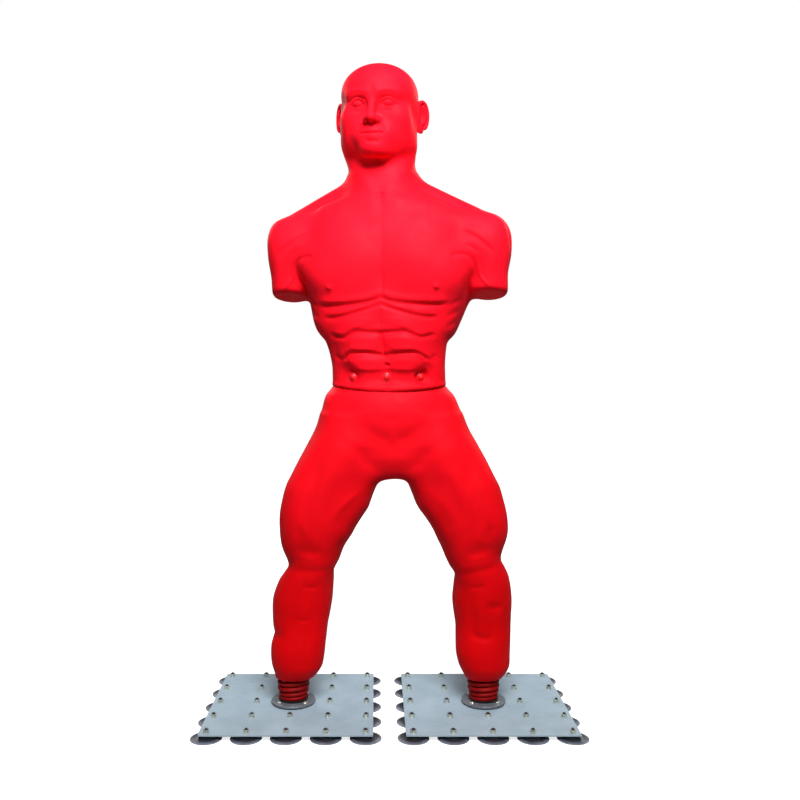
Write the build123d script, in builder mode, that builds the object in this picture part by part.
"""Free-standing full-body striking and grappling dummy.

A moulded rubber figure with cut-off arms stands on two coil springs. Each spring is clamped to
the middle of a square steel plate that grips the floor with 24 suction cups. The upper and the
lower body are two mouldings, bolted together at the waist over a steel pan, and a bent steel tube
in each leg carries the load from the spring to a welded hip frame and the post in the torso.

Millimetres, +Z up, floor at Z = 0, the origin midway between the two base plates. The figure
faces -Y. "left" and "right" are the -X and the +X side, as seen from the front.
"""

import os
from math import cos, radians, sin, sqrt

from build123d import *

# ---------------------------------------------------------------- driving dimensions
STANCE = 260  # from the middle to each spring's axis
CLEAR = 0.2  # between pieces that slide together on assembly

CUP_PITCH = 100
CUPS_A_SIDE = 5
CUP_RADIUS = 40
CUP_NECK_RADIUS = 12
CUP_HEIGHT = 12  # pressed down, as the cups are on a floor
CUP_LIP = 1.2
CUP_HOLLOW = 3.5  # height of the space under a pressed cup
CUP_WAIST = 3.5  # height of the cup's neck
STUD_FOOT = CUP_HOLLOW + 2  # the stud's lower end, moulded into the cup

PLATE_SIZE = 438
PLATE_THICK = 3
PLATE_CORNER = 4
PLATE_TOP = CUP_HEIGHT + PLATE_THICK

M8_RADIUS = 4
M8_NUT_FLATS = 13
M8_NUT_HIGH = 6.5
M8_WASHER_RADIUS = 8
WASHER_THICK = 1.6
STUD_PROUD = 2.5  # what shows of a stud above its nut

SEAT_RADIUS = 57
SEAT_THICK = 4
SEAT_TOP = PLATE_TOP + SEAT_THICK
RING_RADIUS = 60
RING_HOLE = 38.5
RING_THICK = 5
RING_TOP = SEAT_TOP + RING_THICK
COLLAR_RADIUS = 40.2  # the upright lip round the ring's hole
COLLAR_HIGH = 7
FLANGE_BOLT_RADIUS = 47.5
FLANGE_BOLTS = 4
BUTTON_HEAD_RADIUS = 7
BUTTON_HEAD_HIGH = 4.4
HEX_SOCKET_CORNER, HEX_SOCKET_DEEP = 2.9, 2.4

WIRE_RADIUS = 5.5
COIL_RADIUS = 31.5  # mean radius at the bottom coil
COIL_PITCH = 14
COIL_TURNS = 7.5
COIL_TAPER = 3.6  # degrees, each side, wider towards the top
SPRING_TOP = SEAT_TOP + 2 * WIRE_RADIUS + COIL_PITCH * COIL_TURNS
SPIGOT_LENGTH = 22

PLUG_RADIUS = 45
PLUG_THICK = 8
PLUG_TOP = SPRING_TOP + PLUG_THICK
SOCKET_LENGTH = 55
SOCKET_WALL = 4

TUBE_RADIUS = 21
TUBE_WALL = 3
KNEE_Z = 330
KNEE_BEND = 150
HIP_X, HIP_Z = 110, 750  # where the thigh tube's axis ends
HIP_SOCKET_LENGTH = 95
HIP_SOCKET_ROOT = 12  # how far each socket reaches up into the beam

BEAM_Z = 770
BEAM_LENGTH, BEAM_DEPTH, BEAM_HIGH = 290, 46, 40
POST_RADIUS = 24
POST_WALL = 3
POST_FOOT, POST_HEAD = 760, 1560
POST_SOCKET_TOP = 850
M10_RADIUS = 5
M10_NUT_FLATS = 16
M10_NUT_HIGH = 8
M10_HEAD_HIGH = 6.4
SOCKET_BOLT_Z = 690
POST_BOLT_Z = 825

WAIST_Z = 868  # the seam between the two mouldings
PAN_WIDE, PAN_DEEP = 141, 95  # half sizes of the oval pan
PAN_WALL = 4
PAN_HIGH = 66
WAIST_BOLT_Z = 906
WAIST_BOLT_X = 91  # from the middle bolt to the ones beside it
WAIST_BOLT_SHIFT = -6  # the upper body stands turned a little on the pan
WAIST_SPOT_DEPTH = 5  # how far the bolts' spot faces sink into the skin
WAIST_WASHER_RADIUS = 11

WAIST_BOLT_LENGTH = 32
WAIST_NUT_SETBACK = 17.2  # from a spot face to the weld nut behind the pan's wall

SKIN = 9  # thickness of the moulded skin
BEAM_ROOM = (50, 44)  # how much wider and deeper the foam's pocket is than the beam
BEAM_ROOM_HIGH = 420
HAND = {"left": -1, "right": 1}

# Oval sections of the mouldings: height, middle across, middle fore and aft, half width, half depth
TORSO = [
    (WAIST_Z, 0, 0, 154, 107),
    (950, 0, 0, 152, 106),
    (1010, 0, 0, 168, 114),
    (1085, 0, 0, 205, 126),
    (1160, 0, 2, 226, 134),
    (1240, 0, 6, 240, 138),
    (1305, 0, 12, 236, 122),
    (1350, 0, 16, 204, 104),
    (1385, -3, 18, 160, 92),
    (1420, -8, 16, 122, 86),
    (1455, -14, 12, 99, 86),
    (1490, -18, 6, 92, 90),
]
HEAD = [
    (1470, -17, 9, 88, 84),
    (1500, -19, 2, 90, 92),
    (1540, -21, -12, 93, 112),
    (1580, -22, -16, 97, 124),
    (1620, -23, -12, 101, 126),
    (1665, -23, -4, 102, 120),
    (1702, -23, 0, 90, 106),
    (1728, -23, 3, 66, 78),
    (1744, -23, 5, 38, 46),
    (1752, -23, 6, 12, 15),
]
ARM = [
    (1122, 276, 4, 50, 60),
    (1160, 279, 4, 54, 64),
    (1230, 280, 5, 54, 68),
    (1290, 268, 8, 60, 68),
    (1330, 240, 12, 67, 62),
    (1360, 194, 14, 52, 52),
    (1382, 172, 15, 38, 38),
    (1394, 162, 15, 20, 22),
]
PELVIS = [
    (WAIST_Z, 0, 0, 163, 112),
    (830, 0, 1, 176, 118),
    (790, 0, 3, 193, 124),
    (745, 0, 5, 212, 130),
    (700, 0, 5, 214, 128),
    (660, 0, 3, 160, 108),
    (630, 0, 0, 60, 82),
]
LEG = [
    (800, 92, 2, 78, 94),
    (745, 110, 2, 98, 114),
    (700, 124, 0, 110, 121),
    (655, 142, -2, 120, 118),
    (605, 166, -2, 120, 112),
    (555, 186, -2, 115, 104),
    (495, 206, -2, 98, 92),
    (440, 218, -2, 80, 80),
    (393, 228, -2, 69, 72),
    (345, 242, 2, 76, 76),
    (295, 248, 4, 79, 78),
    (229, 252, 4, 73, 74),
    (160, 254, 2, 72, 72),
    (125, 256, 0, 69, 69),
    (98, 258, 0, 62, 62),
    (80, STANCE, 0, 50, 50),
]
HOLLOW_RADIUS = 48  # the well up each calf that the spring stands in
HOLLOW_TOP = PLUG_TOP + 1
CALF_END = 80


# ---------------------------------------------------------------- shared helpers
def save(part, name):
    """Label a finished piece and write it as its own STEP file."""
    part.label = name
    export_step(part, f"parts/{name}.step")


def cup_places(x):
    """The stud grid on the plate at x, without the middle place, which the spring takes."""
    reach = CUPS_A_SIDE // 2
    return [
        (x + CUP_PITCH * i, CUP_PITCH * j)
        for i in range(-reach, reach + 1)
        for j in range(-reach, reach + 1)
        if (i, j) != (0, 0)
    ]


def flange_bolt_places(x):
    """The bolts that hold a spring's flange, a quarter turn apart and off the plate's axes."""
    return [
        (
            x + FLANGE_BOLT_RADIUS * cos(radians(45 + 360 / FLANGE_BOLTS * i)),
            FLANGE_BOLT_RADIUS * sin(radians(45 + 360 / FLANGE_BOLTS * i)),
        )
        for i in range(FLANGE_BOLTS)
    ]


def waist_bolt_planes():
    """Six planes on the waist, three in front and three behind, each facing straight out of the skin."""
    wide, deep = TORSO[0][3], TORSO[0][4]
    planes = []
    for facing in (-1, 1):
        for place in (-WAIST_BOLT_X, 0, WAIST_BOLT_X):
            x = place - facing * WAIST_BOLT_SHIFT
            y = facing * deep * sqrt(1 - (x / wide) ** 2)
            outward = Vector(x / wide**2, y / deep**2, 0).normalized()
            origin = Vector(x, y, WAIST_BOLT_Z) - outward * WAIST_SPOT_DEPTH
            planes.append(Plane(origin=origin, z_dir=outward))
    return planes


def oval_loft(sections, inset=0, side=1):
    """A smooth solid through oval sections, each one inset by the same amount."""
    with BuildPart() as body:
        for z, x, y, wide, deep in sections:
            with BuildSketch(Plane.XY.offset(z)):
                with Locations((side * x, y)):
                    Ellipse(max(wide - inset, 3), max(deep - inset, 3))
        loft()
    return body.part


def thigh_axis(side):
    """Where the straight thigh tube ends at the hip, and its direction up along the thigh."""
    end = Vector(side * HIP_X, 0, HIP_Z)
    return end, (end - Vector(side * STANCE, 0, KNEE_Z)).normalized()


# ---------------------------------------------------------------- base: plate, cups, fasteners
def base_plate(x):
    with BuildPart() as plate:
        with BuildSketch(Plane.XY.offset(CUP_HEIGHT)):
            with Locations((x, 0)):
                RectangleRounded(PLATE_SIZE, PLATE_SIZE, PLATE_CORNER)
            with Locations(*cup_places(x)):
                Circle(M8_RADIUS + CLEAR, mode=Mode.SUBTRACT)
            with Locations(*flange_bolt_places(x)):
                Circle(M8_RADIUS + CLEAR, mode=Mode.SUBTRACT)
        extrude(amount=PLATE_THICK)
    return plate.part


def suction_cups(x):
    """Squat moulded cups: a neck under the plate, a flared skirt, and a thin lip on the floor."""
    with BuildPart() as cup:
        with BuildSketch(Plane.XZ):
            with BuildLine():
                Polyline(
                    (M8_RADIUS, STUD_FOOT),
                    (M8_RADIUS, CUP_HEIGHT),
                    (CUP_NECK_RADIUS, CUP_HEIGHT),
                    (CUP_NECK_RADIUS + 2, CUP_HEIGHT - CUP_WAIST),
                )
                Spline(
                    (CUP_NECK_RADIUS + 2, CUP_HEIGHT - CUP_WAIST),
                    (CUP_RADIUS * 0.68, CUP_HEIGHT * 0.5),
                    (CUP_RADIUS, CUP_LIP),
                )
                Polyline((CUP_RADIUS, CUP_LIP), (CUP_RADIUS, 0), (CUP_RADIUS - 4, 0))
                TangentArc((0, CUP_HOLLOW), (CUP_RADIUS - 4, 0), tangent=(1, 0))
                Polyline((0, CUP_HOLLOW), (0, STUD_FOOT), (M8_RADIUS, STUD_FOOT))
            make_face()
        revolve(axis=Axis.Z)
    with BuildPart() as cups:
        with Locations(*[(cx, cy, 0) for cx, cy in cup_places(x)]):
            add(cup.part)
    return cups.part


def cup_studs(x):
    top = PLATE_TOP + WASHER_THICK + M8_NUT_HIGH + STUD_PROUD
    with BuildPart() as studs:
        with BuildSketch(Plane.XY.offset(STUD_FOOT)):
            with Locations(*cup_places(x)):
                Circle(M8_RADIUS)
        extrude(amount=top - STUD_FOOT)
        chamfer(studs.faces().sort_by(Axis.Z)[-len(cup_places(x)) :].edges(), 0.8)
    return studs.part


def cup_washers(x):
    with BuildPart() as washers:
        with BuildSketch(Plane.XY.offset(PLATE_TOP)):
            with Locations(*cup_places(x)):
                Circle(M8_WASHER_RADIUS)
                Circle(M8_RADIUS + CLEAR, mode=Mode.SUBTRACT)
        extrude(amount=WASHER_THICK)
    return washers.part


def hex_nuts(places, bottom):
    """Hexagon nuts with chamfered corners, all at one height."""
    corner = M8_NUT_FLATS / 2 / cos(radians(30))
    with BuildPart() as nut:
        with BuildSketch(Plane.XY):
            RegularPolygon(corner, 6)
            Circle(M8_RADIUS + CLEAR / 4, mode=Mode.SUBTRACT)
        extrude(amount=M8_NUT_HIGH)
        with BuildSketch(Plane.XZ):
            with BuildLine():
                Polyline(
                    (0, 0), (corner - 0.8, 0), (corner, 0.8), (corner, M8_NUT_HIGH - 0.8),
                    (corner - 0.8, M8_NUT_HIGH), (0, M8_NUT_HIGH), close=True,
                )  # fmt: skip
            make_face()
        revolve(axis=Axis.Z, mode=Mode.INTERSECT)
    with BuildPart() as nuts:
        with Locations(*[(nx, ny, bottom) for nx, ny in places]):
            add(nut.part)
    return nuts.part


# ---------------------------------------------------------------- spring and its two ends
def spring_seat(x):
    """Turned steel seat: a disc under the clamp ring and a spigot up inside the spring."""
    with BuildPart() as seat:
        with BuildSketch(Plane.XY.offset(PLATE_TOP)):
            with Locations((x, 0)):
                Circle(SEAT_RADIUS)
            with Locations(*flange_bolt_places(x)):
                Circle(M8_RADIUS + CLEAR, mode=Mode.SUBTRACT)
        extrude(amount=SEAT_THICK)
        with BuildSketch(Plane.XY.offset(SEAT_TOP)):
            with Locations((x, 0)):
                Circle(COIL_RADIUS - WIRE_RADIUS - 1)
        extrude(amount=SPIGOT_LENGTH)
        chamfer(seat.faces().sort_by(Axis.Z)[-1].edges(), 2)
    return seat.part


def clamp_ring(x):
    """Flat steel ring that clamps the seat, with a low lip round the spring's lowest coil."""
    with BuildPart() as ring:
        with BuildSketch(Plane.XY.offset(SEAT_TOP)):
            with Locations((x, 0)):
                Circle(RING_RADIUS)
                Circle(RING_HOLE, mode=Mode.SUBTRACT)
            with Locations(*flange_bolt_places(x)):
                Circle(M8_RADIUS + CLEAR, mode=Mode.SUBTRACT)
        extrude(amount=RING_THICK)
        rims = ring.faces().sort_by(Axis.Z)[-1].edges().filter_by(GeomType.CIRCLE)
        fillet(rims.sort_by(SortBy.RADIUS)[-1], 1.5)
        with BuildSketch(Plane.XY.offset(RING_TOP)):
            with Locations((x, 0)):
                Circle(COLLAR_RADIUS)
                Circle(RING_HOLE, mode=Mode.SUBTRACT)
        extrude(amount=COLLAR_HIGH)
    return ring.part


def flange_bolts(x):
    """Button-head bolts down through ring, seat and plate."""
    with BuildPart() as bolts:
        with BuildSketch(Plane.XY.offset(RING_TOP)):
            with Locations(*flange_bolt_places(x)):
                Circle(BUTTON_HEAD_RADIUS)
        extrude(amount=BUTTON_HEAD_HIGH)
        crowns = bolts.faces().sort_by(Axis.Z)[-FLANGE_BOLTS:]
        fillet(crowns.edges(), 2.5)
        with BuildSketch(Plane.XY.offset(RING_TOP)):
            with Locations(*flange_bolt_places(x)):
                Circle(M8_RADIUS)
        extrude(amount=-(RING_TOP - CUP_HEIGHT + M8_NUT_HIGH + 1))
        with BuildSketch(Plane.XY.offset(RING_TOP + BUTTON_HEAD_HIGH)):
            with Locations(*flange_bolt_places(x)):
                RegularPolygon(HEX_SOCKET_CORNER, 6)
        extrude(amount=-HEX_SOCKET_DEEP, mode=Mode.SUBTRACT)
    return bolts.part


def spring(x):
    """Tapered coil spring, wider at the top, wound from one round wire."""
    with BuildPart() as coil:
        with BuildLine():
            wire = Helix(
                pitch=COIL_PITCH,
                height=COIL_PITCH * COIL_TURNS,
                radius=COIL_RADIUS,
                center=(x, 0, SEAT_TOP + WIRE_RADIUS),
                cone_angle=COIL_TAPER,
            )
        with BuildSketch(Plane(origin=wire @ 0, z_dir=wire % 0)):
            Circle(WIRE_RADIUS)
        sweep(is_frenet=True)
    return coil.part


def spring_plug(x):
    """Upper end of the spring: spigot, disc, and a socket for the leg tube."""
    taper = COIL_PITCH * COIL_TURNS * sin(radians(COIL_TAPER))
    with BuildPart() as plug:
        with BuildSketch(Plane.XY.offset(SPRING_TOP)):
            with Locations((x, 0)):
                Circle(PLUG_RADIUS)
        extrude(amount=PLUG_THICK)
        with BuildSketch(Plane.XY.offset(SPRING_TOP)):
            with Locations((x, 0)):
                Circle(COIL_RADIUS + taper - WIRE_RADIUS - 3)
        extrude(amount=-SPIGOT_LENGTH)
        with BuildSketch(Plane.XY.offset(PLUG_TOP)):
            with Locations((x, 0)):
                Circle(TUBE_RADIUS + CLEAR + SOCKET_WALL)
                Circle(TUBE_RADIUS + CLEAR, mode=Mode.SUBTRACT)
        extrude(amount=SOCKET_LENGTH)
    return plug.part


# ---------------------------------------------------------------- skeleton
def leg_tube(side):
    """Steel tube up the calf, bent at the knee, then up the thigh into the hip frame's socket."""
    start = (side * STANCE, 0, PLUG_TOP)
    knee = (side * STANCE, 0, KNEE_Z)
    hip, along = thigh_axis(side)
    with BuildPart() as tube:
        with BuildLine():
            route = FilletPolyline(start, knee, tuple(hip), radius=KNEE_BEND)
        with BuildSketch(Plane(origin=start, z_dir=(0, 0, 1))):
            Circle(TUBE_RADIUS)
            Circle(TUBE_RADIUS - TUBE_WALL, mode=Mode.SUBTRACT)
        sweep(path=route)
        with BuildSketch(Plane.XZ.offset(TUBE_RADIUS + 5)):
            with Locations(socket_bolt_point(side)):
                Circle(M10_RADIUS + CLEAR)
        extrude(amount=-2 * (TUBE_RADIUS + 5), mode=Mode.SUBTRACT)
    return tube.part


def socket_bolt_point(side):
    """Where the cross bolt passes through a thigh tube: across and up."""
    end, along = thigh_axis(side)
    back = (end.Z - SOCKET_BOLT_Z) / along.Z
    return (end.X - along.X * back, SOCKET_BOLT_Z)


def hip_frame():
    """Welded frame: cross beam, a slanted socket for each thigh tube, and a socket for the post."""
    outer = TUBE_RADIUS + CLEAR + SOCKET_WALL
    with BuildPart() as frame:
        with Locations((0, 0, BEAM_Z)):
            Box(BEAM_LENGTH, BEAM_DEPTH, BEAM_HIGH)
        for side in HAND.values():
            end, along = thigh_axis(side)
            with BuildSketch(Plane(origin=end + along * HIP_SOCKET_ROOT, z_dir=-along)):
                Circle(outer)
            extrude(amount=HIP_SOCKET_LENGTH + HIP_SOCKET_ROOT)
        with BuildSketch(Plane.XY.offset(POST_FOOT - 4)):
            Circle(POST_RADIUS + CLEAR + SOCKET_WALL)
        extrude(amount=POST_SOCKET_TOP - POST_FOOT + 4)
        for side in HAND.values():
            end, along = thigh_axis(side)
            with BuildSketch(Plane(origin=end, z_dir=-along)):
                Circle(TUBE_RADIUS + CLEAR)
            extrude(amount=HIP_SOCKET_LENGTH + 2, mode=Mode.SUBTRACT)
        with BuildSketch(Plane.XY.offset(POST_FOOT)):
            Circle(POST_RADIUS + CLEAR)
        extrude(amount=POST_SOCKET_TOP - POST_FOOT + 2, mode=Mode.SUBTRACT)
        with BuildSketch(Plane.XZ.offset(BEAM_DEPTH)):
            with Locations(socket_bolt_point(-1), socket_bolt_point(1), (0, POST_BOLT_Z)):
                Circle(M10_RADIUS + CLEAR)
        extrude(amount=-2 * BEAM_DEPTH, mode=Mode.SUBTRACT)
    return frame.part


def torso_post():
    with BuildPart() as post:
        with BuildSketch(Plane.XY.offset(POST_FOOT)):
            Circle(POST_RADIUS)
            Circle(POST_RADIUS - POST_WALL, mode=Mode.SUBTRACT)
        extrude(amount=POST_HEAD - POST_FOOT)
        with BuildSketch(Plane.XZ.offset(POST_RADIUS + 5)):
            with Locations((0, POST_BOLT_Z)):
                Circle(M10_RADIUS + CLEAR)
        extrude(amount=-2 * (POST_RADIUS + 5), mode=Mode.SUBTRACT)
    return post.part


def post_cap():
    """Plastic plug that closes the post's upper end inside the neck."""
    with BuildPart() as cap:
        with BuildSketch(Plane.XY.offset(POST_HEAD)):
            Circle(POST_RADIUS)
        extrude(amount=5)
        fillet(cap.faces().sort_by(Axis.Z)[-1].edges(), 2)
        with BuildSketch(Plane.XY.offset(POST_HEAD)):
            Circle(POST_RADIUS - POST_WALL - CLEAR)
        extrude(amount=-18)
    return cap.part


def cross_bolt(point, reach):
    """Hexagon bolt along Y, its head in front, through a socket of the stated outer radius."""
    with BuildPart() as bolt:
        with BuildSketch(Plane.XZ.offset(reach)):
            with Locations(point):
                RegularPolygon(M10_NUT_FLATS / 2 / cos(radians(30)), 6)
        extrude(amount=M10_HEAD_HIGH)
        with BuildSketch(Plane.XZ.offset(reach)):
            with Locations(point):
                Circle(M10_RADIUS)
        extrude(amount=-(2 * reach + M10_NUT_HIGH + 2))
    return bolt.part


def cross_nut(point, reach):
    with BuildPart() as nut:
        with BuildSketch(Plane.XZ.offset(-reach)):
            with Locations(point):
                RegularPolygon(M10_NUT_FLATS / 2 / cos(radians(30)), 6)
                Circle(M10_RADIUS + CLEAR / 4, mode=Mode.SUBTRACT)
        extrude(amount=-M10_NUT_HIGH)
    return nut.part


# ---------------------------------------------------------------- waist joint
def waist_pan():
    """Oval steel pan on top of the lower body; the upper body's skirt is bolted to its wall."""
    with BuildPart() as pan:
        with BuildSketch(Plane.XY.offset(WAIST_Z)):
            Ellipse(PAN_WIDE, PAN_DEEP)
            Circle(POST_RADIUS + 1, mode=Mode.SUBTRACT)
        extrude(amount=PAN_WALL)
        with BuildSketch(Plane.XY.offset(WAIST_Z)):
            Ellipse(PAN_WIDE, PAN_DEEP)
            Ellipse(PAN_WIDE - PAN_WALL, PAN_DEEP - PAN_WALL, mode=Mode.SUBTRACT)
        extrude(amount=PAN_HIGH)
        for plane in waist_bolt_planes():
            with BuildSketch(plane):
                Circle(M8_RADIUS + CLEAR)
            extrude(amount=-40, mode=Mode.SUBTRACT)
    return pan.part


def waist_bolts():
    with BuildPart() as bolts:
        for plane in waist_bolt_planes():
            with BuildSketch(plane.offset(WASHER_THICK)):
                Circle(BUTTON_HEAD_RADIUS)
            extrude(amount=BUTTON_HEAD_HIGH, taper=25)
            with BuildSketch(plane.offset(WASHER_THICK)):
                Circle(M8_RADIUS)
            extrude(amount=-WAIST_BOLT_LENGTH)
    return bolts.part


def waist_washers():
    with BuildPart() as washers:
        for plane in waist_bolt_planes():
            with BuildSketch(plane):
                Circle(WAIST_WASHER_RADIUS)
                Circle(M8_RADIUS + CLEAR, mode=Mode.SUBTRACT)
            extrude(amount=WASHER_THICK)
    return washers.part


def waist_nuts():
    """Weld nuts behind the pan's wall."""
    with BuildPart() as nuts:
        for plane in waist_bolt_planes():
            with BuildSketch(plane.offset(-WAIST_NUT_SETBACK)):
                RegularPolygon(M8_NUT_FLATS / 2 / cos(radians(30)), 6)
                Circle(M8_RADIUS + CLEAR / 4, mode=Mode.SUBTRACT)
            extrude(amount=-M8_NUT_HIGH)
    return nuts.part


# ---------------------------------------------------------------- mouldings and their foam
def upper_figure(inset=0):
    with BuildPart() as figure:
        add(oval_loft(TORSO, inset))
        add(oval_loft(HEAD[:-1] if inset else HEAD, inset))
        for side in HAND.values():
            arm = ARM if not inset else [(ARM[0][0] + inset, *ARM[0][1:]), *ARM[1:-1]]
            add(oval_loft(arm, inset, side))
    return figure.part


def lower_figure(inset=0):
    with BuildPart() as figure:
        add(oval_loft(PELVIS, inset))
        for side in HAND.values():
            leg = LEG if not inset else [*LEG[:-1], (CALF_END + inset, *LEG[-1][1:])]
            add(oval_loft(leg, inset, side))
    return figure.part


def upper_skin():
    """Moulded skin of the torso, arm stumps, neck and head, open at the waist."""
    with BuildPart() as skin:
        add(upper_figure())
        add(upper_figure(SKIN), mode=Mode.SUBTRACT)
        for plane in waist_bolt_planes():
            with BuildSketch(plane):
                Circle(WAIST_WASHER_RADIUS + 1)
            extrude(amount=20, mode=Mode.SUBTRACT)
            with BuildSketch(plane):
                Circle(M8_RADIUS + CLEAR)
            extrude(amount=-20, mode=Mode.SUBTRACT)
    return skin.part


def upper_foam():
    """Foam that fills the upper body above the pan, with a bore for the post."""
    above_pan = WAIST_Z + PAN_HIGH + 2
    with BuildPart() as foam:
        add(upper_figure(SKIN))
        with Locations((0, 0, above_pan - 100)):
            Box(600, 400, 200, mode=Mode.SUBTRACT)
        with Locations((0, 0, above_pan)):
            Cylinder(
                POST_RADIUS + CLEAR,
                POST_HEAD + 6 - above_pan,
                align=(Align.CENTER, Align.CENTER, Align.MIN),
                mode=Mode.SUBTRACT,
            )
    return foam.part


def lower_skin():
    """Moulded skin of the hips and both legs, open at the waist and under each calf."""
    with BuildPart() as skin:
        add(lower_figure())
        add(lower_figure(SKIN), mode=Mode.SUBTRACT)
        with Locations((-STANCE, 0, CALF_END), (STANCE, 0, CALF_END)):
            Cylinder(HOLLOW_RADIUS - 2, 40, mode=Mode.SUBTRACT)
    return skin.part


def lower_foam():
    """Foam that fills the hips and legs, moulded round the frame, the tubes and the springs."""
    with BuildPart() as foam:
        add(lower_figure(SKIN))
        with Locations((0, 0, POST_SOCKET_TOP)):
            Box(
                BEAM_LENGTH + BEAM_ROOM[0],
                BEAM_DEPTH + BEAM_ROOM[1],
                BEAM_ROOM_HIGH,
                mode=Mode.SUBTRACT,
            )
        for side in HAND.values():
            with Locations((side * STANCE, 0, CALF_END)):
                Cylinder(
                    HOLLOW_RADIUS,
                    HOLLOW_TOP - CALF_END,
                    align=(Align.CENTER, Align.CENTER, Align.MIN),
                    mode=Mode.SUBTRACT,
                )
            with Locations((side * STANCE, 0, HOLLOW_TOP - 1)):
                Cylinder(
                    TUBE_RADIUS + SOCKET_WALL + 1,
                    SOCKET_LENGTH + 2,
                    align=(Align.CENTER, Align.CENTER, Align.MIN),
                    mode=Mode.SUBTRACT,
                )
            start = (side * STANCE, 0, HOLLOW_TOP)
            knee = (side * STANCE, 0, KNEE_Z)
            with BuildLine():
                route = FilletPolyline(
                    start, knee, tuple(thigh_axis(side)[0]), radius=KNEE_BEND
                )
            with BuildSketch(Plane(origin=start, z_dir=(0, 0, 1))):
                Circle(TUBE_RADIUS + 1)
            sweep(path=route, mode=Mode.SUBTRACT)
    return foam.part


# ---------------------------------------------------------------- write every piece
os.makedirs("parts", exist_ok=True)

for hand, side in HAND.items():
    x = side * STANCE
    top_of_washers = PLATE_TOP + WASHER_THICK
    save(base_plate(x), f"{hand}_base_plate")
    save(suction_cups(x), f"{hand}_suction_cups")
    save(cup_studs(x), f"{hand}_cup_studs")
    save(cup_washers(x), f"{hand}_cup_washers")
    save(hex_nuts(cup_places(x), top_of_washers), f"{hand}_cup_nuts")
    save(spring_seat(x), f"{hand}_spring_seat")
    save(clamp_ring(x), f"{hand}_clamp_ring")
    save(flange_bolts(x), f"{hand}_flange_bolts")
    save(hex_nuts(flange_bolt_places(x), CUP_HEIGHT - M8_NUT_HIGH), f"{hand}_flange_nuts")
    save(spring(x), f"{hand}_spring")
    save(spring_plug(x), f"{hand}_spring_plug")
    save(leg_tube(side), f"{hand}_leg_tube")
    socket_reach = TUBE_RADIUS + CLEAR + SOCKET_WALL + 0.5
    save(cross_bolt(socket_bolt_point(side), socket_reach), f"{hand}_socket_bolt")
    save(cross_nut(socket_bolt_point(side), socket_reach), f"{hand}_socket_nut")

post_reach = POST_RADIUS + CLEAR + SOCKET_WALL + 0.5
save(hip_frame(), "hip_frame")
save(torso_post(), "torso_post")
save(post_cap(), "post_cap")
save(cross_bolt((0, POST_BOLT_Z), post_reach), "post_bolt")
save(cross_nut((0, POST_BOLT_Z), post_reach), "post_nut")
save(waist_pan(), "waist_pan")
save(waist_bolts(), "waist_bolts")
save(waist_washers(), "waist_washers")
save(waist_nuts(), "waist_nuts")
save(upper_skin(), "upper_body_skin")
save(upper_foam(), "upper_body_foam")
save(lower_skin(), "lower_body_skin")
save(lower_foam(), "lower_body_foam")
